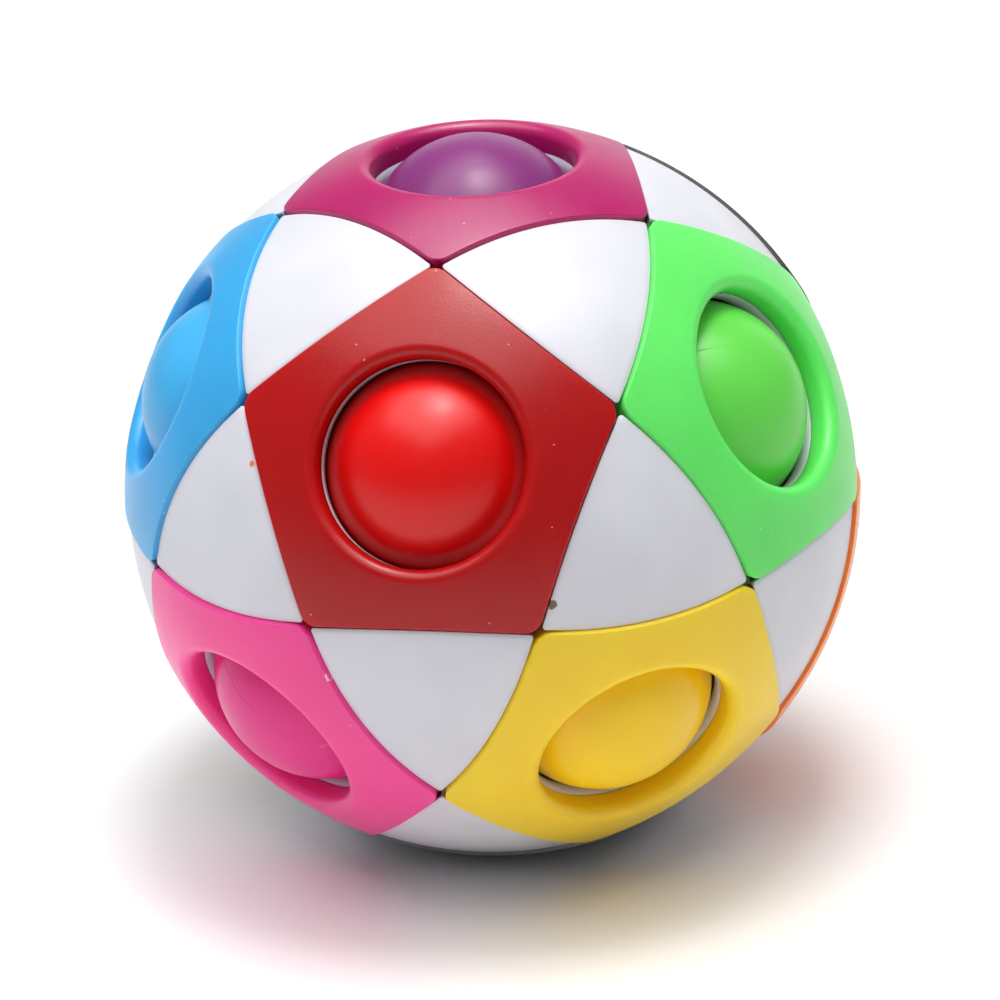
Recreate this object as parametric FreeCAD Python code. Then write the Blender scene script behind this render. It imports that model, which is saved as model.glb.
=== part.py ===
import FreeCAD, Part

import math
import os

# Sliding-ball puzzle. A hollow plastic sphere has twelve round windows, each in the middle of
# a coloured five-sided panel, with white three-sided tiles between the panels. Eleven loose
# balls sit behind the windows. The window at the bottom is empty, so a ball beside it can be
# pressed in and rolled across. A soft ball in the middle holds the others out in their windows.
#
# Millimetres, +Z up. The origin is on the surface that the puzzle stands on, below its centre.
# Every piece is drawn about the sphere's centre and lifted into place when it is written.

from FreeCAD import Placement, Rotation, Vector

# The sphere and its windows
SPHERE_RADIUS = 34.0
RING_ELEVATION = math.degrees(math.atan(0.5))
CORNER_ANGLE = math.degrees(math.atan((math.sqrt(5) - 1) / 2))
SIDES = 5
CORNER_REACH = SPHERE_RADIUS * math.sin(math.radians(CORNER_ANGLE))
CORNER_HEIGHT = SPHERE_RADIUS * math.cos(math.radians(CORNER_ANGLE))
APOTHEM = CORNER_REACH * math.cos(math.pi / SIDES)

# Each window's name, elevation and azimuth, in degrees
WINDOWS = {
    "purple": (90.0, 0.0),
    "red": (RING_ELEVATION, -90.0),
    "green": (RING_ELEVATION, -18.0),
    "black": (RING_ELEVATION, 54.0),
    "navy": (RING_ELEVATION, 126.0),
    "sky": (RING_ELEVATION, 198.0),
    "yellow": (-RING_ELEVATION, -54.0),
    "orange": (-RING_ELEVATION, 18.0),
    "dark_green": (-RING_ELEVATION, 90.0),
    "brown": (-RING_ELEVATION, 162.0),
    "pink": (-RING_ELEVATION, 234.0),
    "grey": (-90.0, 0.0),
}
EMPTY_WINDOW = "grey"

# Half shells
SHELL_OUTER = 31.5
SHELL_INNER = 29.9
SHELL_HOLE_RADIUS = 9.15
SEAT_CLEARANCE = 0.2
TONGUE_OUTER = 30.6
TONGUE_DEPTH = 1.0
SEAM_GAP = 0.05
LEDGE_RADIUS = 31.6

# White tiles, moulded on the half shells
TILE_RADIUS = 33.65
TILE_ROOT = 31.3
TILE_CORNER_FILLET = 0.32
TILE_EDGE_FILLET = 0.06
JOINT_LINE = 0.03

# Coloured panels, whose crowns are the sphere itself
PANEL_UNDERSIDE = 31.55
PANEL_HOLE_RADIUS = 9.25
LIP_RADIUS = 1.0
LIP_LAND_DEPTH = 0.03
PANEL_CORNER_RADIUS = 1.75
PANEL_EDGE_FILLET = 0.16
PANEL_SIDE_RELIEF = 0.08

# Pegs that hold the panels in the shells
PEG_RADIUS = 0.9
PEG_HOLE_RADIUS = 0.95
PEG_REACH = 13.7
PEG_FOOT = 27.35
PEG_ROOT = 29.4

# Loose balls and the soft middle
BALL_RADIUS = 10.25
BALL_CENTRE = 24.0
CORE_RADIUS = 13.55

# The lip is a round about a hub. It runs smoothly into the window's wall and into the crown. Its
# top is cut to a narrow flat land to stand on.
LIP_HUB_REACH = PANEL_HOLE_RADIUS + LIP_RADIUS
LIP_HUB_HEIGHT = math.sqrt((SPHERE_RADIUS - LIP_RADIUS) ** 2 - LIP_HUB_REACH**2)
STAND_HEIGHT = LIP_HUB_HEIGHT + LIP_RADIUS - LIP_LAND_DEPTH
CENTRE = Vector(0, 0, 0)

# Cutting tools reach past what they cut
FAR = 60.0
RIM_REACH = 1.06 * CORNER_REACH
SIDES_LOW = 15.0
SIDES_HIGH = 40.0


def direction(elevation, azimuth):
    e = math.radians(elevation)
    a = math.radians(azimuth)
    return Vector(math.cos(e) * math.cos(a), math.cos(e) * math.sin(a), math.sin(e))


OUTWARD = {name: direction(*angles) for name, angles in WINDOWS.items()}


def neighbours(name):
    """The five windows next to this one."""
    here = OUTWARD[name]
    return [other for other, way in OUTWARD.items() if other != name and here.dot(way) > 0.1]


def panel_turn(name):
    """The turn that carries a panel from its drawing, hole along +Z and a corner on +X."""
    out = OUTWARD[name]
    beside = OUTWARD[neighbours(name)[0]]
    across = out.cross(beside)
    return Rotation(across.cross(out), across, out, "ZXY")


def turned(shape, rotation):
    copy = shape.copy()
    copy.Placement = Placement(CENTRE, rotation).multiply(copy.Placement)
    return copy


def height_on(radius, reach):
    """The height of a sphere at a distance from the Z axis."""
    return math.sqrt(radius**2 - reach**2)


def arc_through(radius, reach_a, reach_b):
    """An arc of a sphere's outline in the XZ plane, between two distances from the Z axis."""
    reaches = (reach_a, (reach_a + reach_b) / 2, reach_b)
    points = [Vector(reach, 0, height_on(radius, reach)) for reach in reaches]
    return Part.Arc(*points).toShape()


def lip_point(angle):
    """The point of the lip's round at an angle above +X, in the XZ plane."""
    reach = LIP_HUB_REACH + LIP_RADIUS * math.cos(angle)
    return Vector(reach, 0, LIP_HUB_HEIGHT + LIP_RADIUS * math.sin(angle))


def lip_arc(angle_a, angle_b):
    middle = (angle_a + angle_b) / 2
    return Part.Arc(lip_point(angle_a), lip_point(middle), lip_point(angle_b)).toShape()


def pentagon(corner, height):
    """A five-sided outline round the Z axis with its first corner on +X."""
    angles = [i * 2 * math.pi / SIDES for i in range(SIDES + 1)]
    return Part.makePolygon([Vector(corner * math.cos(a), corner * math.sin(a), height) for a in angles])


def pentagon_prism(apothem, corner_radius, low, high):
    """A five-sided prism along Z with rounded corners, one corner on +X."""
    base = pentagon(apothem / math.cos(math.pi / SIDES), low)
    prism = Part.Face(base).extrude(Vector(0, 0, high - low))
    uprights = [edge for edge in prism.Edges if abs(edge.tangentAt(edge.FirstParameter).z) > 0.99]
    return prism.makeFillet(corner_radius, uprights)


def pentagon_cone(side_relief):
    """A five-sided cone from the centre through a panel's sides, drawn in by the relief."""
    slope = APOTHEM / CORNER_HEIGHT
    tip = side_relief / math.sin(math.atan(slope))

    def outline(height):
        return pentagon((height - tip) * slope / math.cos(math.pi / SIDES), height)

    return Part.makeLoft([outline(SIDES_LOW), outline(SIDES_HIGH)], True, True)


def around(count=SIDES):
    return [Rotation(Vector(0, 0, 1), i * 360.0 / count) for i in range(count)]


def pegs(radius, low, high):
    peg = Part.makeCylinder(radius, high - low, Vector(PEG_REACH, 0, low))
    return [turned(peg, rotation) for rotation in around()]


def make_panel():
    """A coloured panel in its drawing place: a crown, a rounded lip, and five pegs below."""
    land_angle = math.asin(1 - LIP_LAND_DEPTH / LIP_RADIUS)
    crown_angle = math.acos(LIP_HUB_REACH / (SPHERE_RADIUS - LIP_RADIUS))
    wall_foot = Vector(PANEL_HOLE_RADIUS, 0, height_on(PANEL_UNDERSIDE, PANEL_HOLE_RADIUS))
    land = (lip_point(math.pi - land_angle), lip_point(land_angle))
    crown_start = lip_point(crown_angle)
    rim_top = Vector(RIM_REACH, 0, height_on(SPHERE_RADIUS, RIM_REACH))
    rim_foot = Vector(RIM_REACH, 0, height_on(PANEL_UNDERSIDE, RIM_REACH))
    outline = Part.Wire(
        [
            Part.LineSegment(wall_foot, lip_point(math.pi)).toShape(),
            lip_arc(math.pi, math.pi - land_angle),
            Part.LineSegment(*land).toShape(),
            lip_arc(land_angle, crown_angle),
            arc_through(SPHERE_RADIUS, crown_start.x, RIM_REACH),
            Part.LineSegment(rim_top, rim_foot).toShape(),
            arc_through(PANEL_UNDERSIDE, RIM_REACH, PANEL_HOLE_RADIUS),
        ]
    )
    ring = Part.Face(outline).revolve(CENTRE, Vector(0, 0, 1), 360)
    prism = pentagon_prism(APOTHEM - JOINT_LINE / 2, PANEL_CORNER_RADIUS, SIDES_LOW, SIDES_HIGH)
    panel = ring.common(prism)
    panel = panel.makeFillet(PANEL_EDGE_FILLET, crown_edges(panel))
    panel = panel.common(pentagon_cone(PANEL_SIDE_RELIEF))
    return panel.fuse(pegs(PEG_RADIUS, PEG_FOOT, PEG_ROOT)).removeSplitter()


def crown_edges(panel):
    """The edges round the outside of a panel's crown."""
    found = []
    for edge in panel.Edges:
        middle = edge.valueAt((edge.FirstParameter + edge.LastParameter) / 2)
        reach = math.hypot(middle.x, middle.y)
        on_crown = abs(middle.Length - SPHERE_RADIUS) < 1e-4
        if on_crown and reach > PEG_REACH:
            found.append(edge)
    return found


def tile_triples():
    """Every three windows that meet round a white tile."""
    names = list(WINDOWS)
    triples = []
    for i, a in enumerate(names):
        for b in names[i + 1 :]:
            for c in names[names.index(b) + 1 :]:
                if b in neighbours(a) and c in neighbours(a) and c in neighbours(b):
                    triples.append((a, b, c))
    return triples


def make_tile(triple):
    """A white three-sided tile whose sides are parallel to the panels' own axes."""
    ways = [OUTWARD[name] for name in triple]
    middle = ways[0].add(ways[1]).add(ways[2]).normalize()
    inward = [middle.sub(Vector(way).multiply(middle.dot(way))).normalize() for way in ways]
    offset = APOTHEM + JOINT_LINE / 2
    tip = Vector(middle).multiply(offset / inward[0].dot(middle))
    far_corners = []
    for i in range(3):
        run = inward[i].cross(inward[(i + 1) % 3]).normalize()
        if run.dot(middle) < 0:
            run = run.negative()
        far_corners.append(tip.add(run.multiply(FAR)))
    faces = [Part.Face(Part.makePolygon(far_corners + [far_corners[0]]))]
    for i in range(3):
        side = [tip, far_corners[i], far_corners[(i + 1) % 3], tip]
        faces.append(Part.Face(Part.makePolygon(side)))
    wedge = Part.Solid(Part.Shell(faces))
    if wedge.Volume < 0:
        wedge.reverse()
    layer = Part.makeSphere(TILE_RADIUS).cut(Part.makeSphere(TILE_ROOT))
    tile = wedge.common(layer).Solids[0]
    uprights = [edge for edge in tile.Edges if edge.Curve.TypeId == "Part::GeomLine"]
    tile = tile.makeFillet(TILE_CORNER_FILLET, uprights)
    top_edges = []
    for edge in tile.Edges:
        point = edge.valueAt((edge.FirstParameter + edge.LastParameter) / 2)
        if abs(point.Length - TILE_RADIUS) < 1e-3:
            top_edges.append(edge)
    return tile.makeFillet(TILE_EDGE_FILLET, top_edges)


def half_space(low, high):
    return Part.makeBox(2 * FAR, 2 * FAR, high - low, Vector(-FAR, -FAR, low))


def bowl(outer, inner, low, high):
    """A slice of a hollow sphere between two heights."""
    return Part.makeSphere(outer).cut(Part.makeSphere(inner)).common(half_space(low, high))


def make_shell(upper):
    """One half of the hollow sphere with its white tiles, window holes and peg holes."""
    side = 1 if upper else -1
    seam = 0.0 if upper else -SEAM_GAP
    shell = bowl(SHELL_OUTER, SHELL_INNER, *sorted((seam, side * FAR)))
    tiles = []
    for triple in tile_triples():
        if side * sum(OUTWARD[name].z for name in triple) > 0:
            tiles.append(make_tile(triple))
    shell = shell.fuse(tiles)
    across_seam = Part.makeSphere(LEDGE_RADIUS).common(half_space(*sorted((seam, -side * FAR))))
    shell = shell.cut(across_seam)
    if upper:
        shell = shell.fuse(bowl(TONGUE_OUTER, SHELL_INNER, -TONGUE_DEPTH, SEAM_GAP))
    else:
        rebate = bowl(TONGUE_OUTER + SEAM_GAP, SHELL_INNER - 1, -TONGUE_DEPTH - SEAM_GAP, 1.0)
        shell = shell.cut(rebate)
    cutters = []
    for name in WINDOWS:
        if side * OUTWARD[name].z > 0:
            rotation = panel_turn(name)
            ball_centre = Vector(0, 0, BALL_CENTRE)
            hole = Part.makeCylinder(SHELL_HOLE_RADIUS, FAR, ball_centre)
            seat = Part.makeSphere(BALL_RADIUS + SEAT_CLEARANCE, ball_centre)
            cutters.append(turned(hole.fuse(seat), rotation))
            cutters += [turned(peg, rotation) for peg in pegs(PEG_HOLE_RADIUS, BALL_CENTRE, FAR)]
    return shell.cut(cutters)


def make_ball(name):
    return Part.makeSphere(BALL_RADIUS, Vector(OUTWARD[name]).multiply(BALL_CENTRE))


def write(node, shape):
    lifted = shape.copy()
    lifted.translate(Vector(0, 0, STAND_HEIGHT))
    lifted.exportStep(os.path.join("parts", node + ".step"))
    print(node, "solids", len(lifted.Solids), "volume", round(lifted.Volume, 1), lifted.isValid())


def main():
    os.makedirs("parts", exist_ok=True)
    panel = make_panel()
    for name in WINDOWS:
        write("panel_" + name, turned(panel, panel_turn(name)))
        if name != EMPTY_WINDOW:
            write("ball_" + name, make_ball(name))
    write("upper_shell", make_shell(upper=True))
    write("lower_shell", make_shell(upper=False))
    write("foam_core", Part.makeSphere(CORE_RADIUS))


main()
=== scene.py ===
"""Looks for the sliding-ball sphere puzzle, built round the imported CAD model."""

import math

import bmesh
import bpy
import numpy as np
from mathutils import Matrix, Vector


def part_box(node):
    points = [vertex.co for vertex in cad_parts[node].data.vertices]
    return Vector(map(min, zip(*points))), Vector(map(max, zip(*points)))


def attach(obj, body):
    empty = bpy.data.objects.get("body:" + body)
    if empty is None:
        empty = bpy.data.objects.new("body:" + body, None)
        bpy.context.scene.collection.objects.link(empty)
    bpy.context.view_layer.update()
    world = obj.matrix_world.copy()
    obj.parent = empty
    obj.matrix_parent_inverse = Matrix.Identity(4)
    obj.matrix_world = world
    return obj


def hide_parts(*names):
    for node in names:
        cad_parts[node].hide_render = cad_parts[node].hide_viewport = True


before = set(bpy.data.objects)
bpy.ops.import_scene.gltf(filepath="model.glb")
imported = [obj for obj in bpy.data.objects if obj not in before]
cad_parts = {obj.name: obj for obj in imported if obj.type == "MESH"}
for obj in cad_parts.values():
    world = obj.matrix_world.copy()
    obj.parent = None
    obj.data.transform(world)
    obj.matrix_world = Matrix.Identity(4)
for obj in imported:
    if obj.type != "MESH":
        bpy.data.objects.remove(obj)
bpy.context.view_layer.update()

MM = 0.001
core_low, core_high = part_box("foam_core")
CENTRE = np.array((core_low + core_high) / 2)
ball_low, ball_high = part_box("ball_purple")
BALL_RADIUS = (ball_high.x - ball_low.x) / 2
BALL_CENTRE = (ball_low.z + ball_high.z) / 2 - CENTRE[2]

# The sphere and its windows
SPHERE_RADIUS = 34.0 * MM
RING_ELEVATION = math.degrees(math.atan(0.5))
CORNER_ANGLE = math.atan((math.sqrt(5) - 1) / 2)
SIDES = 5
CORNER_REACH = SPHERE_RADIUS * math.sin(CORNER_ANGLE)
CORNER_HEIGHT = SPHERE_RADIUS * math.cos(CORNER_ANGLE)
APOTHEM = CORNER_REACH * math.cos(math.pi / SIDES)
SIDE_SLOPE = APOTHEM / CORNER_HEIGHT
WINDOWS = {
    "purple": (90.0, 0.0),
    "red": (RING_ELEVATION, -90.0),
    "green": (RING_ELEVATION, -18.0),
    "black": (RING_ELEVATION, 54.0),
    "navy": (RING_ELEVATION, 126.0),
    "sky": (RING_ELEVATION, 198.0),
    "yellow": (-RING_ELEVATION, -54.0),
    "orange": (-RING_ELEVATION, 18.0),
    "dark_green": (-RING_ELEVATION, 90.0),
    "brown": (-RING_ELEVATION, 162.0),
    "pink": (-RING_ELEVATION, 234.0),
    "grey": (-90.0, 0.0),
}
EMPTY_WINDOW = "grey"

# Shell, tile and panel sizes
SHELL_OUTER = 31.5 * MM
SHELL_INNER = 29.9 * MM
SHELL_HOLE_RADIUS = 9.25 * MM
SHELL_HOLE_EASE = 0.08 * MM
TONGUE_OUTER = 30.6 * MM
TONGUE_DEPTH = 1.0 * MM
SEAT_RADIUS = BALL_RADIUS + 0.2 * MM
TILE_RADIUS = 33.65 * MM
TILE_FOOT = 31.4 * MM
TILE_CORNER = 0.32 * MM
TILE_EDGE = 0.06 * MM
JOINT_LINE = 0.03 * MM
PANEL_UNDERSIDE = 31.55 * MM
PANEL_HOLE_RADIUS = 9.25 * MM
LIP_RADIUS = 1.0 * MM
LIP_HUB_REACH = PANEL_HOLE_RADIUS + LIP_RADIUS
LIP_HUB_HEIGHT = math.sqrt((SPHERE_RADIUS - LIP_RADIUS) ** 2 - LIP_HUB_REACH**2)
PANEL_CORNER = 1.75 * MM
PANEL_EDGE = 0.16 * MM
SIDE_RELIEF = 0.08 * MM
STAND_HEIGHT = CENTRE[2]

# How finely the meshes are divided. A row of points close to a bend keeps the bend crisp.
LIP_STEPS = 13
CROWN_STEPS = 14
EDGE_STEPS = 5
FOOT_ROW = 0.05 * MM
SIDE_ROWS = (0.3, 0.65, 0.97, 1.0)
UNDERSIDE_ROWS = (0.03, 0.35, 0.7, 0.97)
TILE_SIDE_STEPS = 30
TILE_CORNER_STEPS = 8
TILE_TOP_STEPS = 14
TILE_EDGE_STEPS = 4
TILE_SIDE_ROWS = (0.5, 0.97, 1.0)
ARC_STEPS = 24
SEAM_STEPS = 10 * ARC_STEPS
SHELL_STEPS = 8
SEAT_STEPS = 4
WELD = 0.001 * MM

# The lower edge of a panel's side depends on how far the side leans in there, so it is worked out
# again this many times, which is plenty for it to settle.
SETTLING_ROUNDS = 4


def unit(v):
    v = np.asarray(v, float)
    return v / np.linalg.norm(v)


def direction(elevation, azimuth):
    e, a = math.radians(elevation), math.radians(azimuth)
    return np.array((math.cos(e) * math.cos(a), math.cos(e) * math.sin(a), math.sin(e)))


OUTWARD = {name: direction(*angles) for name, angles in WINDOWS.items()}


def neighbours(name):
    here = OUTWARD[name]
    return [other for other, way in OUTWARD.items() if other != name and here @ way > 0]


def panel_axes(name):
    """Rows are a panel's own X (to a corner), Y and Z (out through its window)."""
    out = OUTWARD[name]
    across = unit(np.cross(out, OUTWARD[neighbours(name)[0]]))
    return np.array((np.cross(across, out), across, out))


# ---------------------------------------------------------------- mesh helpers


class Sheet:
    """Collects points and faces for one mesh."""

    def __init__(self):
        self.points = []
        self.faces = []
        self.dust_and_shade = []

    def add_points(self, points):
        start = len(self.points)
        self.points.extend(map(tuple, points))
        return list(range(start, len(self.points)))

    def band(self, row_a, row_b):
        """Quads all the way round between two closed rows of equally many points."""
        count = len(row_a)
        for i in range(count):
            j = (i + 1) % count
            self.faces.append((row_a[i], row_a[j], row_b[j], row_b[i]))

    def mark_dust_and_shade(self, first_face):
        """Faces added since first_face take the piece's second material, the joints' dust and
        painted shade.
        """
        self.dust_and_shade += range(first_face, len(self.faces))

    def loft(self, rings, join_ends=False):
        rows = [self.add_points(ring) for ring in rings]
        for a, b in zip(rows, rows[1:]):
            self.band(a, b)
        if join_ends:
            self.band(rows[-1], rows[0])
        return rows

    def cap(self, row, middle, flip=False):
        tip = self.add_points([middle])[0]
        for i, a in enumerate(row):
            b = row[(i + 1) % len(row)]
            self.faces.append((b, a, tip) if flip else (a, b, tip))

    def make(self, name, body, merge=0.0):
        mesh = bpy.data.meshes.new(name)
        mesh.from_pydata(self.points, [], self.faces)
        for face in self.dust_and_shade:
            mesh.polygons[face].material_index = 1
        tidy_mesh(mesh, merge)
        mesh.shade_smooth()
        piece = bpy.data.objects.new(name, mesh)
        bpy.context.scene.collection.objects.link(piece)
        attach(piece, body)
        return piece


def tidy_mesh(mesh, merge):
    """Joins points closer than merge and turns every face outward."""
    editor = bmesh.new()
    editor.from_mesh(mesh)
    if merge:
        bmesh.ops.remove_doubles(editor, verts=editor.verts, dist=merge)
    bmesh.ops.recalc_face_normals(editor, faces=editor.faces)
    editor.to_mesh(mesh)
    editor.free()


# ---------------------------------------------------------------- panels


def pentagon_outline(apothem, corner, side_steps=26, corner_steps=10):
    """Points and outward normals round a pentagon with rounded corners, one corner on +X."""
    points, normals = [], []
    reach = (apothem - corner) / math.cos(math.pi / SIDES)
    half_turn = math.pi / SIDES
    for k in range(SIDES):
        middle = 2 * half_turn * k
        hub = reach * np.array((math.cos(middle), math.sin(middle)))
        for t in np.linspace(-half_turn, half_turn, corner_steps + 1):
            n = np.array((math.cos(middle + t), math.sin(middle + t)))
            points.append(hub + corner * n)
            normals.append(n)
        n = np.array((math.cos(middle + half_turn), math.sin(middle + half_turn)))
        after = middle + 2 * half_turn
        next_hub = reach * np.array((math.cos(after), math.sin(after)))
        for t in np.linspace(0, 1, side_steps + 1)[1:-1]:
            points.append(hub + (next_hub - hub) * t + corner * n)
            normals.append(n)
    return np.array(points), np.array(normals)


def with_height(flat, height):
    return np.column_stack((flat, np.broadcast_to(height, len(flat))))


def panel_rings():
    """Rings from the foot of the window's wall, over the lip and crown, and back underneath."""
    edge, normals = pentagon_outline(APOTHEM - JOINT_LINE / 2, PANEL_CORNER)
    turn = np.arctan2(edge[:, 1], edge[:, 0])
    circle = np.column_stack((np.cos(turn), np.sin(turn)))
    crown_lean = math.asin(LIP_HUB_REACH / (SPHERE_RADIUS - LIP_RADIUS))

    def crown(flat):
        return np.sqrt(SPHERE_RADIUS**2 - (flat**2).sum(1))

    def underside(flat):
        return np.sqrt(PANEL_UNDERSIDE**2 - (flat**2).sum(1))

    rings = []
    hole = circle * PANEL_HOLE_RADIUS
    foot = underside(hole)[0]
    for height in (foot, foot + FOOT_ROW, (foot + LIP_HUB_HEIGHT) / 2):
        rings.append(with_height(hole, height))
    for lean in np.linspace(math.pi, math.pi / 2 - crown_lean, LIP_STEPS + 1):
        reach = LIP_HUB_REACH + LIP_RADIUS * math.cos(lean)
        rings.append(with_height(circle * reach, LIP_HUB_HEIGHT + LIP_RADIUS * math.sin(lean)))
    # The crown begins where the lip's last ring is.
    inner = circle * reach
    shoulder = edge - normals * PANEL_EDGE
    for t in np.linspace(0, 1, CROWN_STEPS + 1)[1:]:
        flat = inner + (shoulder - inner) * t
        rings.append(with_height(flat, crown(flat)))
    shoulder_height = crown(shoulder) - PANEL_EDGE
    for lean in np.linspace(0, math.pi / 2, EDGE_STEPS + 1)[1:]:
        flat = shoulder + normals * PANEL_EDGE * math.sin(lean)
        height = shoulder_height + PANEL_EDGE * math.cos(lean)
        rings.append(with_height(flat, np.minimum(height, crown(flat))))

    def drawn_in(height):
        """The outline at a height, where the panel's sides lean in towards the centre."""
        share = np.minimum(1.0, (SIDE_SLOPE * height - SIDE_RELIEF) / (APOTHEM - JOINT_LINE / 2))
        return edge * share[:, None]

    low = underside(edge)
    for _ in range(SETTLING_ROUNDS):
        low = underside(drawn_in(low))
    for t in SIDE_ROWS:
        height = shoulder_height + (low - shoulder_height) * t
        rings.append(with_height(drawn_in(height), height))
    last = drawn_in(low)
    for t in UNDERSIDE_ROWS:
        flat = last + (hole - last) * t
        rings.append(with_height(flat, underside(flat)))
    return rings


def with_land(ring):
    """The ring with its top cut off flat, where the puzzle stands on it."""
    return with_height(ring[:, :2], np.minimum(ring[:, 2], STAND_HEIGHT))


def make_panel(name, rings):
    axes = panel_axes(name)
    if name == EMPTY_WINDOW:
        rings = [with_land(ring) for ring in rings]
    sheet = Sheet()
    sheet.loft([ring @ axes + CENTRE for ring in rings], join_ends=True)
    piece = sheet.make("window_panel_" + name, "case")
    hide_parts("panel_" + name)
    return piece


# ---------------------------------------------------------------- shells and tiles


def tile_triples():
    names = list(WINDOWS)
    return [
        (a, b, c)
        for i, a in enumerate(names)
        for j, b in enumerate(names[i + 1 :], i + 1)
        for c in names[j + 1 :]
        if b in neighbours(a) and c in neighbours(a) and c in neighbours(b)
    ]


def tile_outline(triple):
    """Points, outward side normals and inward-running directions round one tile's edge."""
    ways = [OUTWARD[name] for name in triple]
    middle = unit(sum(ways))
    if np.cross(ways[0], ways[1]) @ ways[2] < 0:
        ways = ways[::-1]
    inward = [unit(middle - way * (middle @ way)) for way in ways]
    offset = APOTHEM + JOINT_LINE / 2 + TILE_CORNER
    hubs = []
    for i in range(3):
        a, b = inward[i], inward[(i + 1) % 3]
        run = unit(np.cross(a, b))
        run = run if run @ middle > 0 else -run
        solve = np.linalg.solve(np.array((a, b, run)), np.array((offset, offset, 0.0)))
        along = solve @ run
        reach = math.sqrt(TILE_RADIUS**2 - solve @ solve + along**2)
        hubs.append(solve + run * (reach - along))
    points, normals, runs = [], [], []
    for i in range(3):
        side, after = inward[i], inward[(i + 1) % 3]
        hub, previous = hubs[i], hubs[i - 1]
        circle_centre = side * offset
        start, end = previous - circle_centre, hub - circle_centre
        for t in np.linspace(0, 1, TILE_SIDE_STEPS + 1):
            way = unit(start + (end - start) * t) * np.linalg.norm(start)
            points.append(circle_centre + way - side * TILE_CORNER)
            normals.append(-side)
            runs.append(-ways[i])
        for t in np.linspace(0, 1, TILE_CORNER_STEPS + 1)[1:-1]:
            n = unit(-side * (1 - t) - after * t)
            points.append(hub + n * TILE_CORNER)
            normals.append(n)
            runs.append(-unit(ways[i] * (1 - t) + ways[(i + 1) % 3] * t))
    return middle, np.array(points), np.array(normals), np.array(runs)


def on_sphere(points, radius):
    return points / np.linalg.norm(points, axis=1)[:, None] * radius


def add_tile(sheet, triple):
    middle, edge, normals, runs = tile_outline(triple)
    shoulder = on_sphere(edge - normals * TILE_EDGE, TILE_RADIUS)
    top = middle * TILE_RADIUS
    rings = []
    for t in np.linspace(0, 1, TILE_TOP_STEPS + 1)[1:]:
        rings.append(on_sphere(top + (shoulder - top) * t, TILE_RADIUS))
    up = on_sphere(shoulder, 1.0)
    for lean in np.linspace(0, math.pi / 2, TILE_EDGE_STEPS + 1)[1:]:
        drop = TILE_EDGE * (1 - math.cos(lean))
        rings.append(shoulder + normals * TILE_EDGE * math.sin(lean) - up * drop)
    brow = rings[-1]
    depth = np.linalg.norm(brow, axis=1) - TILE_FOOT
    for t in TILE_SIDE_ROWS:
        rings.append(brow + runs * (depth * t)[:, None])
    rows = sheet.loft([ring + CENTRE for ring in rings])
    sheet.cap(rows[0], top + CENTRE, flip=True)
    sheet.cap(rows[-1], rings[-1].mean(0) + CENTRE)


def great_arc(a, b, steps):
    """Unit directions along the great circle from a to b."""
    angle = math.acos(np.clip(a @ b, -1, 1))
    ts = np.linspace(0, 1, steps + 1)
    return [(a * math.sin((1 - t) * angle) + b * math.sin(t * angle)) / math.sin(angle) for t in ts]


def pentagon_directions(name):
    """Directions round a panel's place on the shell, corner to corner."""
    out = OUTWARD[name]
    axes = panel_axes(name)
    corners = [unit(out + OUTWARD[other]) for other in neighbours(name)]
    corners.sort(key=lambda c: math.atan2(c @ axes[1], c @ axes[0]) % (2 * math.pi))
    around = []
    for i, corner in enumerate(corners):
        around += great_arc(corner, corners[(i + 1) % SIDES], ARC_STEPS)[:-1]
    return np.array(around)


def add_window_ring(sheet, name):
    """The shell under one panel: outer face, the window's wall, and inner face."""
    out = OUTWARD[name]
    border = pentagon_directions(name)
    flat = border - np.outer(border @ out, out)
    spoke = flat / np.linalg.norm(flat, axis=1)[:, None]

    def rim(reach, height):
        return spoke * reach + out * height

    def on_shell(radius, reach):
        return rim(reach, math.sqrt(radius**2 - reach**2))

    def on_seat(reach):
        return rim(reach, BALL_CENTRE + math.sqrt(SEAT_RADIUS**2 - reach**2))

    seat_low = seat_reach()
    outer_rim = on_shell(SHELL_OUTER, SHELL_HOLE_RADIUS + SHELL_HOLE_EASE)
    inner_rim = on_shell(SHELL_INNER, seat_low)
    wall_top = math.sqrt(SHELL_OUTER**2 - SHELL_HOLE_RADIUS**2) - SHELL_HOLE_EASE
    rings = []
    for t in np.linspace(1, 0, SHELL_STEPS + 1):
        rings.append(on_sphere(outer_rim + (border * SHELL_OUTER - outer_rim) * t, SHELL_OUTER))
    rings.append(rim(SHELL_HOLE_RADIUS, wall_top))
    rings += [on_seat(reach) for reach in np.linspace(SHELL_HOLE_RADIUS, seat_low, SEAT_STEPS + 1)]
    for t in np.linspace(0, 1, SHELL_STEPS + 1)[1:]:
        rings.append(on_sphere(inner_rim + (border * SHELL_INNER - inner_rim) * t, SHELL_INNER))
    first = len(sheet.faces)
    # The outer face's band at the panel's edge lies in the joints and takes the dust and painted
    # shade material.
    sheet.loft([ring + CENTRE for ring in rings[:2]])
    sheet.mark_dust_and_shade(first)
    sheet.loft([ring + CENTRE for ring in rings[1:]])


def seat_reach():
    """How far from the window's axis the round seat meets the shell's inner face."""
    height = (BALL_CENTRE**2 + SHELL_INNER**2 - SEAT_RADIUS**2) / (2 * BALL_CENTRE)
    return math.sqrt(SHELL_INNER**2 - height**2)


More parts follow.
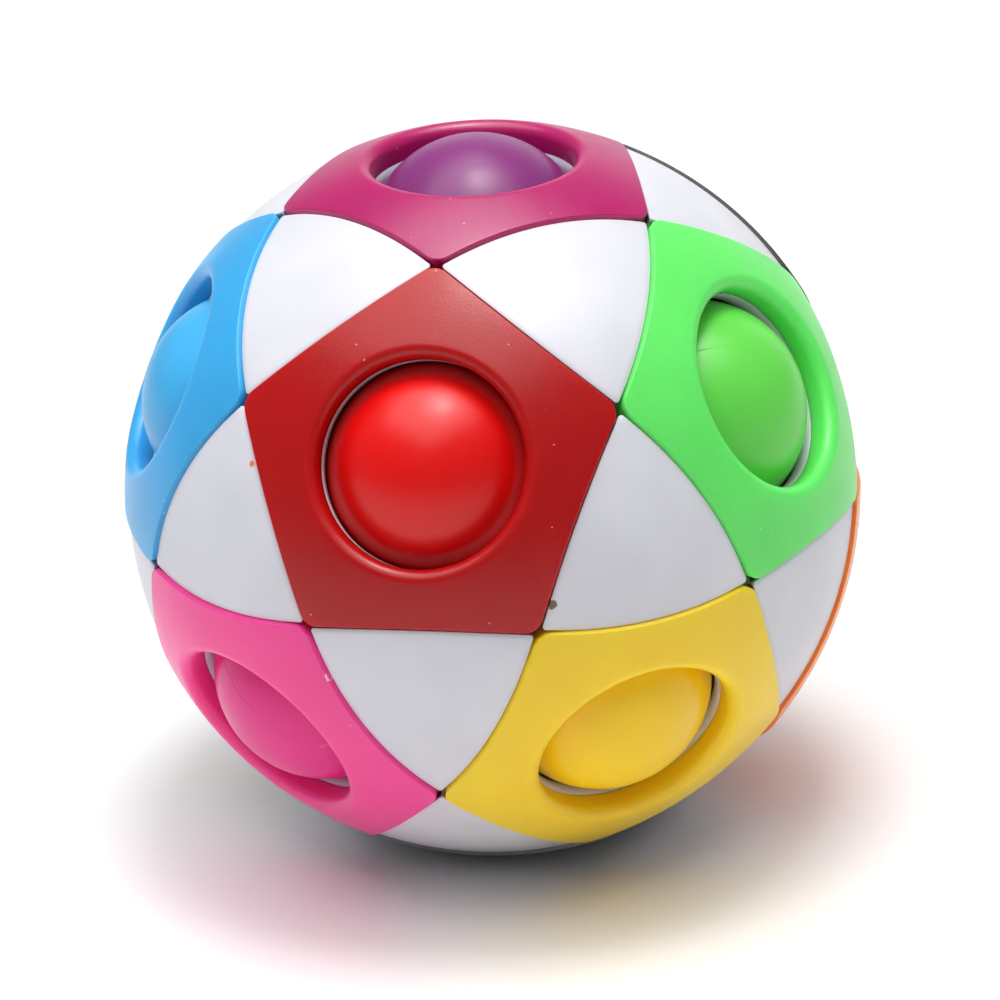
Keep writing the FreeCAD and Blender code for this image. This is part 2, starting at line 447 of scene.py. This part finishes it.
def add_triangle(sheet, triple, radius):
    """The shell between three panels, on one face, as rows of points that match the rings."""
    a, b, c = (OUTWARD[name] for name in triple)
    p, q, r = unit(a + b), unit(b + c), unit(c + a)
    left, right = great_arc(p, q, ARC_STEPS), great_arc(p, r, ARC_STEPS)
    rows = [[p]]
    for i in range(1, ARC_STEPS + 1):
        rows.append(great_arc(left[i], right[i], i))
    grids = [sheet.add_points(np.array(row) * radius + CENTRE) for row in rows]
    for upper, lower in zip(grids, grids[1:]):
        for k, top in enumerate(upper):
            sheet.faces.append((top, lower[k], lower[k + 1]))
            if k + 1 < len(upper):
                sheet.faces.append((top, lower[k + 1], upper[k + 1]))


def add_seam(sheet, side):
    """The half's rim on the middle plane, stepped so that one half's tongue fits in the other."""
    turns = np.arange(0, SEAM_STEPS) * 2 * math.pi / SEAM_STEPS
    start = unit(OUTWARD["red"] + OUTWARD["yellow"])
    turns = turns + math.atan2(start[1], start[0])
    circle = np.column_stack((np.cos(turns), np.sin(turns), turns * 0))
    rings = [circle * SHELL_OUTER, circle * TONGUE_OUTER]
    if side > 0:
        drop = np.array((0, 0, -TONGUE_DEPTH))
        inside = math.sqrt(SHELL_INNER**2 - TONGUE_DEPTH**2)
        rings += [circle * TONGUE_OUTER + drop, circle * inside + drop]
    rings.append(circle * SHELL_INNER)
    sheet.loft([ring + CENTRE for ring in rings])


def make_shell(node, side):
    sheet = Sheet()
    for name in WINDOWS:
        if side * OUTWARD[name][2] > 0:
            add_window_ring(sheet, name)
    for triple in tile_triples():
        if side * sum(OUTWARD[name][2] for name in triple) > 0:
            # The outer face under a tile shows only in the joints and takes the dust and painted
            # shade material.
            first = len(sheet.faces)
            add_triangle(sheet, triple, SHELL_OUTER)
            sheet.mark_dust_and_shade(first)
            add_triangle(sheet, triple, SHELL_INNER)
    add_seam(sheet, side)
    shell = sheet.make(node + "_moulding", "case", merge=WELD)
    tiles = Sheet()
    for triple in tile_triples():
        if side * sum(OUTWARD[name][2] for name in triple) > 0:
            add_tile(tiles, triple)
    tile_piece = tiles.make(node + "_tiles", "case")
    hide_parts(node)
    return shell, tile_piece


# ---------------------------------------------------------------- balls


# A ball's parting line shows only where it is turned into the window. For those balls: where the
# line's pole points, and where along the line it stands out most, both as elevation and azimuth.
PARTING_LINES = {
    "green": ((35.0, 121.0), (54.0, -74.0)),
    "pink": ((54.0, -32.0), (3.0, -125.0)),
}

# The ridge along a parting line. Its half width, how far along it stays strong, and the usual lean
# of its pole from the window's axis are in degrees. FAINT_SHARE of its height is left elsewhere.
RIDGE_HEIGHT = 0.03 * MM
RIDGE_HALF_WIDTH = 0.35
USUAL_RIDGE_REACH = 30.0
RIDGE_REACH = {"green": 13.0}
FAINT_SHARE = 0.2
POLE_TILT = 15.0

# Ball meshes, in degrees: how far the close rows reach, how close they are, and the last row
FINE_SPAN = 4.0
FINE_LATITUDE = 0.2
FINE_LONGITUDE = 0.5
LAST_LATITUDE = 89.2

# How many coarse rows there are beyond the close ones, on each side
LATITUDE_STEPS = 30
LONGITUDE_STEPS = 60


def graded(half_span, fine, coarse_steps):
    """Angles in radians, from -half_span to half_span degrees, close together near zero."""
    near = np.linspace(0, FINE_SPAN, round(FINE_SPAN / fine) + 1)
    far = np.linspace(FINE_SPAN, half_span, coarse_steps + 1)[1:]
    positive = np.concatenate((near, far))
    return np.radians(np.concatenate((-positive[:0:-1], positive)))


def ball_axes(name):
    """Columns are a ball's own X (where its parting line stands out), Y and Z (the line's pole)."""
    if name in PARTING_LINES:
        pole, strong = (direction(*angles) for angles in PARTING_LINES[name])
    else:
        out = OUTWARD[name]
        sideways = panel_axes(name)[1]
        lean = math.radians(POLE_TILT)
        pole, strong = out * math.cos(lean) + sideways * math.sin(lean), sideways
    y = unit(np.cross(pole, strong))
    return np.column_stack((np.cross(y, pole), y, pole))


def make_ball(name):
    """A moulded ball: a true sphere with a fine ridge where the halves of its mould met."""
    longitudes = graded(180.0, FINE_LONGITUDE, LONGITUDE_STEPS)[:-1]
    reach_along = RIDGE_REACH.get(name, USUAL_RIDGE_REACH)
    fade = np.exp(-((np.degrees(longitudes) / reach_along) ** 2))
    strength = RIDGE_HEIGHT * (FAINT_SHARE + (1 - FAINT_SHARE) * fade)
    rings = []
    for latitude in graded(LAST_LATITUDE, FINE_LATITUDE, LATITUDE_STEPS):
        profile = math.exp(-((math.degrees(latitude) / RIDGE_HALF_WIDTH) ** 2))
        reach = BALL_RADIUS - RIDGE_HEIGHT + strength * profile
        across = reach * math.cos(latitude)
        flat = np.column_stack((across * np.cos(longitudes), across * np.sin(longitudes)))
        rings.append(with_height(flat, reach * math.sin(latitude)))
    axes = ball_axes(name)
    place = CENTRE + OUTWARD[name] * BALL_CENTRE
    sheet = Sheet()
    rows = sheet.loft([ring @ axes.T + place for ring in rings])
    pole = axes[:, 2] * (BALL_RADIUS - RIDGE_HEIGHT)
    sheet.cap(rows[0], place - pole)
    sheet.cap(rows[-1], place + pole, flip=True)
    piece = sheet.make("loose_ball_" + name, "ball_" + name)
    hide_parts("ball_" + name)
    return piece


# ---------------------------------------------------------------- materials


RANGE_SOCKETS = ("From Min", "From Max", "To Min", "To Max")

# A mix node has sockets of the same names for numbers, vectors and colours; these are the colours'.
MIX_COLOUR_INPUTS = (6, 7)
MIX_COLOUR_OUTPUT = 2

# The part of a noise's range that is stretched from nothing to full, and the share of a dot's and
# a spot's radius inside which they are at their full strength
MIDDLE_NOISE = (0.35, 0.65)
WIDE_NOISE = (0.3, 0.7)
SPECK_CORE = 0.6
SPOT_CORE = 0.75
SPOT_RIPPLE_SCALE = 1400.0


class Nodes:
    """Short calls for building a material's node tree."""

    def __init__(self, name):
        self.material = bpy.data.materials.new(name)
        self.material.use_nodes = True
        self.tree = self.material.node_tree
        self.shader = self.tree.nodes["Principled BSDF"]
        self.place = self.new("ShaderNodeTexCoord").outputs["Object"]

    def new(self, kind, **settings):
        node = self.tree.nodes.new(kind)
        for key, value in settings.items():
            setattr(node, key, value)
        return node

    def link(self, source, target):
        self.tree.links.new(source, target)

    def shifted(self, offset, stretch=(1.0, 1.0, 1.0)):
        node = self.new("ShaderNodeMapping")
        node.inputs["Location"].default_value = (offset, offset * 0.7, -offset)
        node.inputs["Scale"].default_value = stretch
        self.link(self.place, node.inputs["Vector"])
        return node.outputs["Vector"]

    def noise(self, scale, detail=3.0, rough=0.55, offset=0.0, stretch=(1.0, 1.0, 1.0)):
        node = self.new("ShaderNodeTexNoise")
        node.inputs["Scale"].default_value = scale
        node.inputs["Detail"].default_value = detail
        node.inputs["Roughness"].default_value = rough
        self.link(self.shifted(offset, stretch), node.inputs["Vector"])
        return node.outputs["Fac"]

    def remap(self, value, low, high, to_low=0.0, to_high=1.0):
        node = self.new("ShaderNodeMapRange")
        for key, number in zip(RANGE_SOCKETS, (low, high, to_low, to_high)):
            node.inputs[key].default_value = number
        self.link(value, node.inputs["Value"])
        return node.outputs["Result"]

    def combine(self, operation, a, b):
        node = self.new("ShaderNodeMath", operation=operation)
        for socket, value in zip(node.inputs, (a, b)):
            if isinstance(value, float):
                socket.default_value = value
            else:
                self.link(value, socket)
        return node.outputs[0]

    def mix(self, share, a, b):
        node = self.new("ShaderNodeMix", data_type="RGBA")
        self.link(share, node.inputs["Factor"])
        for key, value in zip(MIX_COLOUR_INPUTS, (a, b)):
            if isinstance(value, tuple):
                node.inputs[key].default_value = (*value, 1.0)
            else:
                self.link(value, node.inputs[key])
        return node.outputs[MIX_COLOUR_OUTPUT]

    def bump(self, height, distance, strength, normal=None):
        node = self.new("ShaderNodeBump")
        node.inputs["Distance"].default_value = distance
        node.inputs["Strength"].default_value = strength
        self.link(height, node.inputs["Height"])
        if normal is not None:
            self.link(normal, node.inputs["Normal"])
        return node.outputs["Normal"]

    def specks(self, spacing, radius, share, offset):
        """Sparse round dots: about this share of the points of a random scatter."""
        node = self.new("ShaderNodeTexVoronoi")
        node.inputs["Scale"].default_value = 1 / spacing
        self.link(self.shifted(offset), node.inputs["Vector"])
        full_strength = SPECK_CORE * radius / spacing
        near = self.remap(node.outputs["Distance"], radius / spacing, full_strength)
        split = self.new("ShaderNodeSeparateColor")
        self.link(node.outputs["Color"], split.inputs[0])
        chosen = self.combine("LESS_THAN", split.outputs[0], share)
        return self.combine("MULTIPLY", near, chosen)

    def spot(self, place, radius, ragged=0.5):
        """A ragged patch round one place on the object."""
        node = self.new("ShaderNodeVectorMath", operation="DISTANCE")
        self.link(self.place, node.inputs[0])
        node.inputs[1].default_value = tuple(place)
        ripple = self.noise(SPOT_RIPPLE_SCALE, detail=3.0, rough=0.7)
        wander = self.remap(ripple, *WIDE_NOISE, -ragged * radius, ragged * radius)
        distance = self.combine("ADD", node.outputs["Value"], wander)
        return self.remap(distance, radius, radius * SPOT_CORE)


def shade(colour, factor):
    return tuple(min(1.0, channel * factor) for channel in colour)


def own_glow(colour):
    """How far each channel travels in pigmented plastic, as a share of the brightest one's way."""
    return tuple(max(LEAST_GLOW, channel / max(colour)) for channel in colour)


def on_surface(elevation, azimuth, radius):
    return CENTRE + direction(elevation, azimuth) * radius


PANEL_COLOURS = {
    "purple": (0.40, 0.004, 0.118),
    "red": (0.41, 0.002, 0.003),
    "green": (0.135, 0.79, 0.145),
    "black": (0.012, 0.012, 0.014),
    "navy": (0.02, 0.05, 0.30),
    "sky": (0.04, 0.37, 0.73),
    "yellow": (0.98, 0.63, 0.014),
    "orange": (0.98, 0.22, 0.03),
    "dark_green": (0.01, 0.20, 0.06),
    "brown": (0.16, 0.06, 0.025),
    "pink": (0.97, 0.055, 0.31),
    "grey": (0.22, 0.23, 0.25),
}
BALL_COLOURS = {
    "purple": (0.22, 0.03, 0.175),
    "red": (0.72, 0.002, 0.002),
    "green": (0.13, 0.67, 0.078),
    "black": (0.015, 0.015, 0.017),
    "navy": (0.03, 0.07, 0.36),
    "sky": (0.05, 0.39, 0.74),
    "yellow": (0.99, 0.63, 0.003),
    "orange": (0.90, 0.17, 0.02),
    "dark_green": (0.015, 0.24, 0.08),
    "brown": (0.20, 0.075, 0.03),
    "pink": (0.78, 0.020, 0.24),
}
WHITE = (0.675, 0.675, 0.735)
# Dust and painted shade: the tan that stands in for dust and for the shade deep in the joints
JOINT_DUST_AND_SHADE = (0.68, 0.58, 0.38)
FOAM = (0.30, 0.05, 0.05)
PALE_SPECK = (0.85, 0.70, 0.66)
DARK_SPECK = (0.35, 0.34, 0.33)
PALE_SPECK_STRENGTH = 0.45
DARK_SPECK_STRENGTH = 0.35
SMUDGE = (0.60, 0.58, 0.52)

# Finish: how rough each surface is, how strong the grain of its mould, and how it reflects
PANEL_ROUGHNESS, PANEL_GRAIN = 0.31, 0.75
BALL_ROUGHNESS, BALL_GRAIN = 0.33, 0.12
TILE_ROUGHNESS, TILE_GRAIN = 0.36, 0.18
DUST_AND_SHADE_ROUGHNESS, DUST_AND_SHADE_GRAIN = 0.75, 0.6
FOAM_ROUGHNESS, FOAM_GRAIN = 0.85, 0.9
PLASTIC_IOR = 1.5
PANEL_GLOSS = {"purple": 0.6}
USUAL_PANEL_GLOSS = 0.4
BALL_GLOSS = 0.42
MOTTLE = 0.04
POLISH_DIP, POLISH_RISE = 0.03, 0.04
WAVE_HEIGHT, WAVE_STRENGTH = 0.05 * MM, 0.22
GRAIN_HEIGHT = 0.02 * MM

# Light inside the panels' plastic: its share, the brightest channel's way, and the least share
GLOW_WEIGHT = 0.5
GLOW_REACH = 3.0 * MM
LEAST_GLOW = 0.05

# Small marks of wear: where they are, how wide, and their colour
GLUE_SPOT = (on_surface(4.2, -69.7, TILE_RADIUS), 0.42 * MM, (0.17, 0.12, 0.07))
PAINT_SPOT = (on_surface(23.0, -120.2, TILE_RADIUS), 0.34 * MM, (0.90, 0.17, 0.10))
PINK_SCUFF = (on_surface(-8.2, -104.8, TILE_RADIUS + 0.2 * MM), 0.45 * MM, (0.95, 0.62, 0.74))


def moulded(n, roughness, grain, offset):
    """Uneven gloss, shallow waves, and the fine grain that a mould leaves."""
    polish = n.noise(scale=420.0, detail=4.0, rough=0.6, offset=offset + 3)
    smoothest, roughest = roughness - POLISH_DIP, roughness + POLISH_RISE
    n.link(n.remap(polish, *WIDE_NOISE, smoothest, roughest), n.shader.inputs["Roughness"])
    swell = n.noise(scale=160.0, detail=2.0, rough=0.4, offset=offset + 11)
    waves = n.bump(swell, WAVE_HEIGHT, WAVE_STRENGTH)
    fine = n.noise(scale=4200.0, detail=2.0, rough=0.6, offset=offset + 7)
    n.link(n.bump(fine, GRAIN_HEIGHT, grain, waves), n.shader.inputs["Normal"])


def mottled(n, colour, offset):
    """The colour with a slight unevenness, broad and soft."""
    patches = n.remap(n.noise(scale=90.0, detail=2.0, rough=0.5, offset=offset), *MIDDLE_NOISE)
    return n.mix(patches, shade(colour, 1 - MOTTLE), shade(colour, 1 + MOTTLE))


def scuffed(n, colour, mark, offset):
    """The colour with a patch of short pale lines rubbed into it."""
    place, radius, scuff = mark
    strokes = n.noise(scale=1900.0, detail=2.0, rough=0.7, offset=offset, stretch=(1.0, 2.5, 1.0))
    lines = n.remap(strokes, low=0.5, high=0.56)
    return n.mix(n.combine("MULTIPLY", n.spot(place, radius), lines), colour, scuff)


def panel_plastic(name, offset):
    """Grained panel plastic that lets a little light through, with specks of dust in its grain."""
    n = Nodes("panel_plastic_" + name)
    colour = mottled(n, PANEL_COLOURS[name], offset)
    dots = n.specks(spacing=0.9 * MM, radius=0.11 * MM, share=0.05, offset=offset)
    colour = n.mix(n.combine("MULTIPLY", dots, PALE_SPECK_STRENGTH), colour, PALE_SPECK)
    if name == "pink":
        colour = scuffed(n, colour, PINK_SCUFF, offset=5.0)
    n.link(colour, n.shader.inputs["Base Color"])
    moulded(n, PANEL_ROUGHNESS, PANEL_GRAIN, offset)
    n.shader.inputs["IOR"].default_value = PLASTIC_IOR
    gloss = PANEL_GLOSS.get(name, USUAL_PANEL_GLOSS)
    n.shader.inputs["Specular IOR Level"].default_value = gloss
    n.shader.inputs["Subsurface Weight"].default_value = GLOW_WEIGHT
    n.shader.inputs["Subsurface Scale"].default_value = GLOW_REACH
    n.shader.inputs["Subsurface Radius"].default_value = own_glow(PANEL_COLOURS[name])
    return n.material


def ball_plastic(name, offset):
    """Smoother plastic than the panels', lightly scuffed by rolling."""
    n = Nodes("ball_plastic_" + name)
    colour = mottled(n, BALL_COLOURS[name], offset)
    strokes = n.noise(scale=900.0, detail=2.0, rough=0.6, offset=offset, stretch=(0.25, 1.6, 0.6))
    hairs = n.remap(strokes, low=0.70, high=0.76, to_low=0.0, to_high=0.10)
    n.link(n.mix(hairs, colour, shade(PALE_SPECK, 0.9)), n.shader.inputs["Base Color"])
    moulded(n, BALL_ROUGHNESS, BALL_GRAIN, offset)
    n.shader.inputs["IOR"].default_value = PLASTIC_IOR
    n.shader.inputs["Specular IOR Level"].default_value = BALL_GLOSS
    return n.material


def white_plastic(offset=90.0):
    """The tiles' white, with faint handling smudges, dark pinpricks and two stray spots."""
    n = Nodes("white_plastic")
    colour = mottled(n, WHITE, offset)
    hands = n.noise(scale=130.0, detail=4.0, rough=0.65, offset=21.0)
    smudge = n.remap(hands, low=0.58, high=0.72, to_low=0.0, to_high=0.08)
    colour = n.mix(smudge, colour, SMUDGE)
    dots = n.specks(spacing=1.1 * MM, radius=0.09 * MM, share=0.04, offset=31.0)
    colour = n.mix(n.combine("MULTIPLY", dots, DARK_SPECK_STRENGTH), colour, DARK_SPECK)
    for place, radius, paint in (GLUE_SPOT, PAINT_SPOT):
        colour = n.mix(n.spot(place, radius), colour, paint)
    n.link(colour, n.shader.inputs["Base Color"])
    moulded(n, TILE_ROUGHNESS, TILE_GRAIN, offset)
    n.shader.inputs["IOR"].default_value = PLASTIC_IOR
    return n.material


def dust_and_shade_plastic(offset=51.0):
    """The shell's face deep in the joints, painted tan for dust together with painted shade."""
    n = Nodes("dust_and_shade_plastic")
    # Painted shade with dust: blotches from darker to lighter tan, in place of the shade in the
    # joints.
    dust_and_shade_blotches = n.remap(n.noise(scale=1600.0, detail=4.0, rough=0.65, offset=offset), *MIDDLE_NOISE)
    n.link(n.mix(dust_and_shade_blotches, shade(JOINT_DUST_AND_SHADE, 0.6), shade(JOINT_DUST_AND_SHADE, 1.5)), n.shader.inputs["Base Color"])
    moulded(n, DUST_AND_SHADE_ROUGHNESS, DUST_AND_SHADE_GRAIN, offset)
    return n.material


def foam(offset=77.0):
    """The core's matt foam, darker in its pores."""
    n = Nodes("foam")
    cells = n.remap(n.noise(scale=1500.0, detail=3.0, rough=0.6, offset=offset), *MIDDLE_NOISE)
    n.link(n.mix(cells, shade(FOAM, 0.8), shade(FOAM, 1.2)), n.shader.inputs["Base Color"])
    moulded(n, FOAM_ROUGHNESS, FOAM_GRAIN, offset)
    return n.material


def dress(piece, *materials):
    """Gives the piece these materials and leaves each face's choice among them as it is."""
    while len(piece.data.materials) > 0:
        piece.data.materials.pop()
    for material in materials:
        piece.data.materials.append(material)


def build_object():
    """Every piece, in its material. The offsets keep the pieces' patterns from being alike."""
    rings = panel_rings()
    for i, name in enumerate(WINDOWS):
        dress(make_panel(name, rings), panel_plastic(name, offset=i * 1.7))
        if name != EMPTY_WINDOW:
            dress(make_ball(name), ball_plastic(name, offset=i * 2.3 + 40))
    white, dust_and_shade = white_plastic(), dust_and_shade_plastic()
    for node, side in (("upper_shell", 1), ("lower_shell", -1)):
        shell, tiles = make_shell(node, side)
        dress(shell, white, dust_and_shade)
        dress(tiles, white)
    dress(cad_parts["foam_core"], foam())


# ---------------------------------------------------------------- stage, light and camera


TABLE_HALF = 3.0
TABLE_CORNERS = ((-1, -1), (1, -1), (1, 1), (-1, 1))
TABLE_WHITE = (0.92, 0.92, 0.92, 1.0)
TABLE_ROUGHNESS = 0.35


def make_floor():
    mesh = bpy.data.meshes.new("table_top")
    corners = [(x * TABLE_HALF, y * TABLE_HALF, 0) for x, y in TABLE_CORNERS]
    mesh.from_pydata(corners, [], [(0, 1, 2, 3)])
    floor = bpy.data.objects.new("table_top", mesh)
    bpy.context.scene.collection.objects.link(floor)
    n = Nodes("table_white")
    n.shader.inputs["Base Color"].default_value = TABLE_WHITE
    n.shader.inputs["Roughness"].default_value = TABLE_ROUGHNESS
    mesh.materials.append(n.material)


WHITE_LIGHT = (1.0, 1.0, 1.0)
COOL_LIGHT = (0.92, 0.96, 1.0)


def add_area(name, place, size, radiance, colour=WHITE_LIGHT):
    """A soft box that faces the object, as bright as this across its whole face."""
    data = bpy.data.lights.new(name, "AREA")
    data.shape = "RECTANGLE"
    data.size, data.size_y = size
    data.energy = math.pi * radiance * size[0] * size[1]
    data.color = colour
    light = bpy.data.objects.new(name, data)
    light.location = place
    light.rotation_euler = (Vector(place) - Vector(CENTRE)).to_track_quat("Z", "Y").to_euler()
    bpy.context.scene.collection.objects.link(light)
    return light


# From front to back: where the studio starts and stops brightening, and how bright it is there
WORLD_RAMP = (0.75, 0.98, 0.21, 0.95)


def make_world():
    """A studio that is dark where the camera stands and white behind the object."""
    world = bpy.data.worlds.new("studio")
    world.use_nodes = True
    tree = world.node_tree
    place = tree.nodes.new("ShaderNodeTexCoord")
    split = tree.nodes.new("ShaderNodeSeparateXYZ")
    tree.links.new(place.outputs["Generated"], split.inputs[0])
    ramp = tree.nodes.new("ShaderNodeMapRange")
    ramp.interpolation_type = "SMOOTHSTEP"
    for key, number in zip(RANGE_SOCKETS, WORLD_RAMP):
        ramp.inputs[key].default_value = number
    tree.links.new(split.outputs["Y"], ramp.inputs["Value"])
    tree.links.new(ramp.outputs["Result"], tree.nodes["Background"].inputs["Strength"])
    tree.nodes["Background"].inputs["Color"].default_value = (*WHITE_LIGHT, 1.0)
    bpy.context.scene.world = world


def make_lights():
    """Two soft boxes overhead, and a weak cool one at the left that leaves no reflection."""
    make_world()
    add_area("overhead_bank", place=(-0.05, -0.06, 0.85), size=(1.0, 1.0), radiance=2.75)
    add_area("key_softbox", place=(0.05, 0.0, 0.80), size=(0.24, 0.24), radiance=13.5)
    fill = add_area(
        "left_fill", place=(-0.85, 0.0, 0.40), size=(0.8, 0.6), radiance=0.6, colour=COOL_LIGHT
    )
    fill.visible_glossy = False


# In sphere radii: where the camera stands from the sphere's centre, and how far to the right of
# and above the camera's axis that centre is seen
CAMERA_OFFSET = (3.23496, -14.60450, 6.24482)
CAMERA_AIM = (-0.0180, 0.0352)
CAMERA_ROLL = math.radians(-3.30)
CAMERA_LENS = 214.47
CAMERA_SENSOR = 36.0
CAMERA_NEAR, CAMERA_FAR = 0.01, 10.0


def camera_axes():
    """Columns are the camera's right, up and back, found from where it looks and how it leans."""
    back = unit(CAMERA_OFFSET)
    right = unit(np.cross((0, 0, 1), back))
    up = np.cross(back, right)
    aim_x, aim_y = (shift / np.linalg.norm(CAMERA_OFFSET) for shift in CAMERA_AIM)
    back = unit(back + right * aim_x + up * aim_y)
    right = unit(np.cross((0, 0, 1), back))
    up = np.cross(back, right)
    c, s = math.cos(CAMERA_ROLL), math.sin(CAMERA_ROLL)
    return np.column_stack((right * c + up * s, up * c - right * s, back)).tolist()


def make_camera():
    data = bpy.data.cameras.new("camera")
    data.lens = CAMERA_LENS
    data.sensor_width = CAMERA_SENSOR
    data.clip_start, data.clip_end = CAMERA_NEAR, CAMERA_FAR
    camera = bpy.data.objects.new("camera", data)
    bpy.context.scene.collection.objects.link(camera)
    stand = Vector(CENTRE) + Vector(CAMERA_OFFSET) * SPHERE_RADIUS
    camera.matrix_world = Matrix.Translation(stand) @ Matrix(camera_axes()).to_4x4()
    bpy.context.scene.camera = camera


build_object()
make_floor()
make_lights()
make_camera()
bpy.context.scene.view_settings.view_transform = "Standard"
